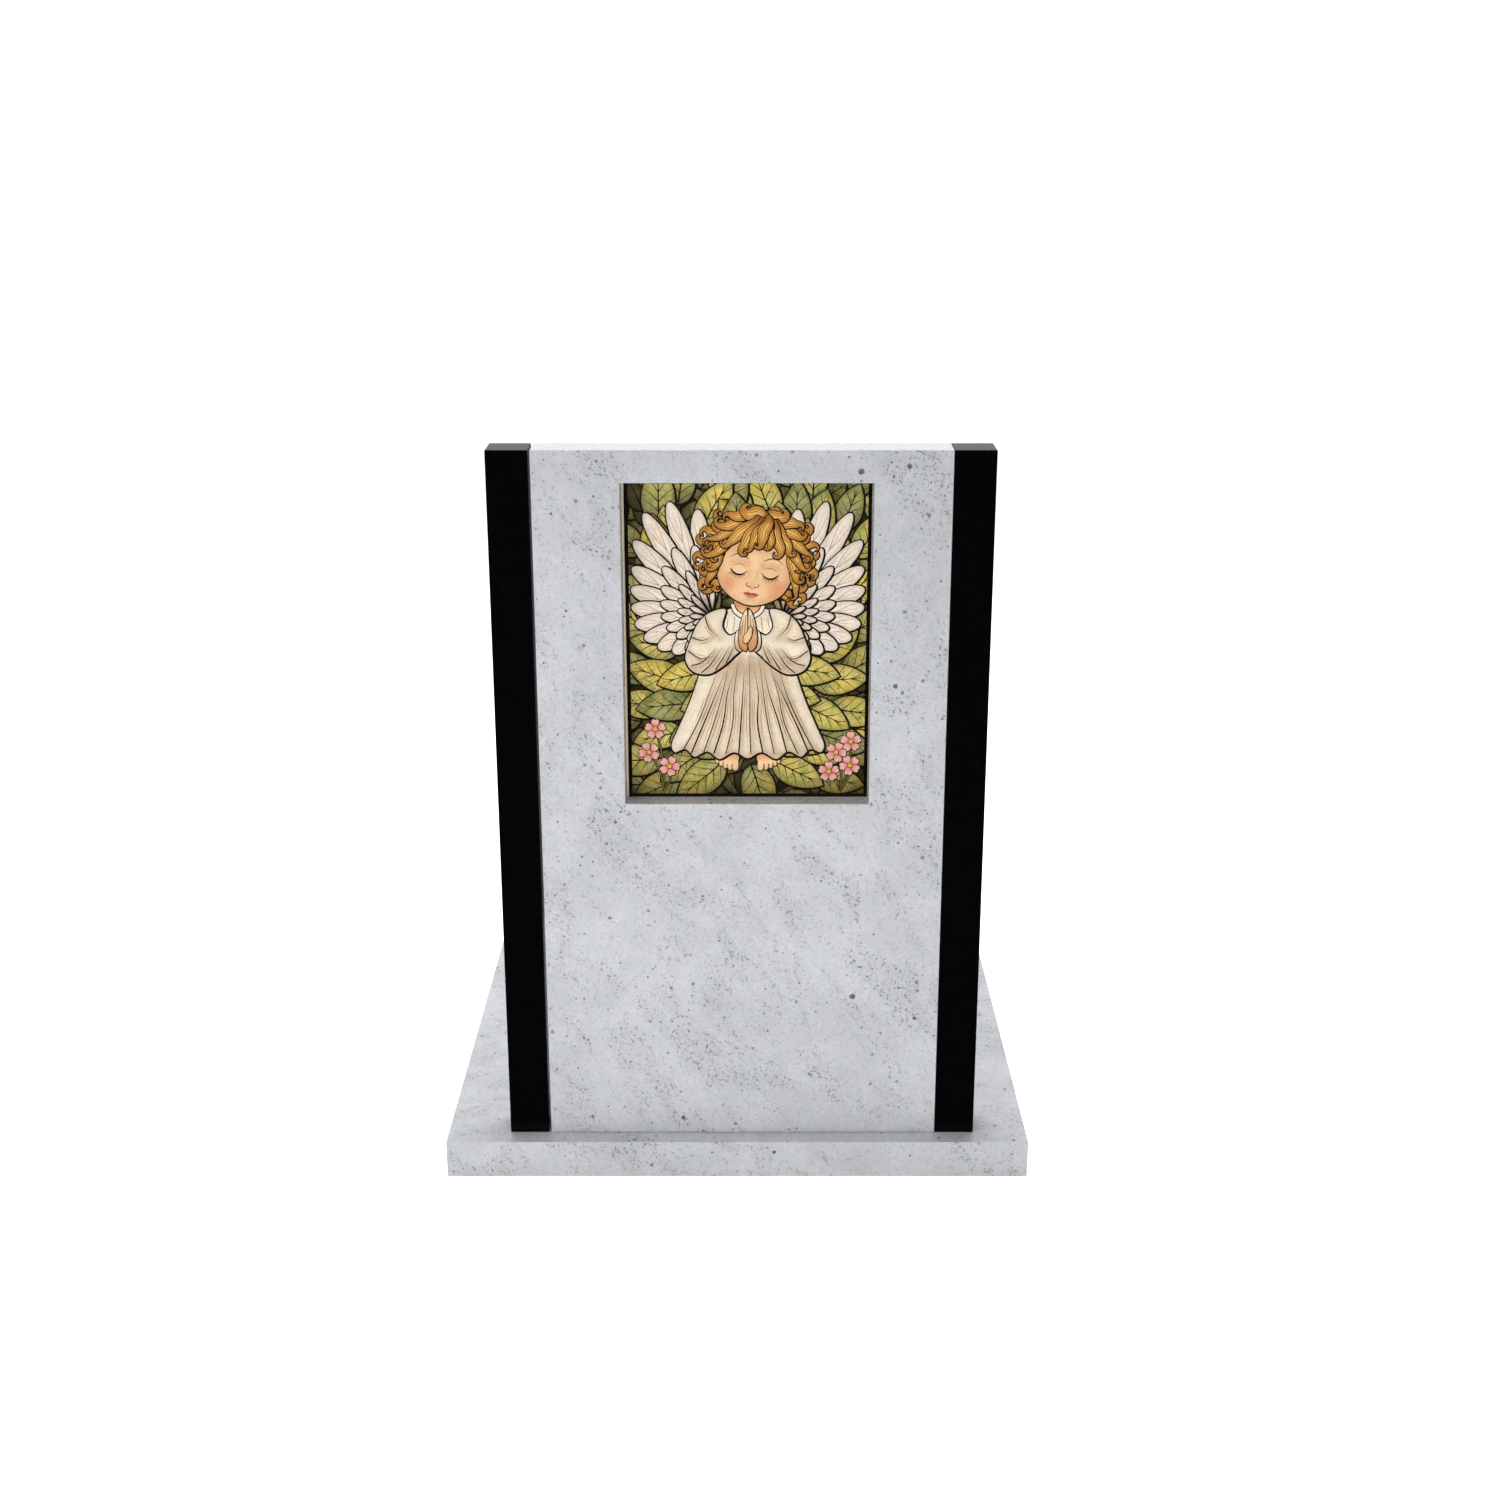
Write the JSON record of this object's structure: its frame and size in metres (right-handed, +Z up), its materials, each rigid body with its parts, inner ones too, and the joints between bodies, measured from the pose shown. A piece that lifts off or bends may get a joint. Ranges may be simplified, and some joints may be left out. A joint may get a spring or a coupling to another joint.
{
  "type": "angel headstone",
  "caption": "Upright pale granite grave stele between black pillars on a base plate, with an angel picture panel standing in its window.",
  "frame": {"origin": "on the ground, under the middle of the base plate", "axes": "+Z up, +X to the viewer's right, -Y towards the viewer, so the picture faces -Y"},
  "size_m": [0.75, 0.75, 0.9403],
  "materials": {
    "pale_granite": "satin",
    "black_granite": "polished",
    "picture_print": "gloss"
  },
  "bodies": {
    "root": {"base_plate": "pale_granite", "left_pillar": "black_granite", "right_pillar": "black_granite", "stele": "pale_granite", "picture_panel": "picture_print"}
  },
  "joints": []
}
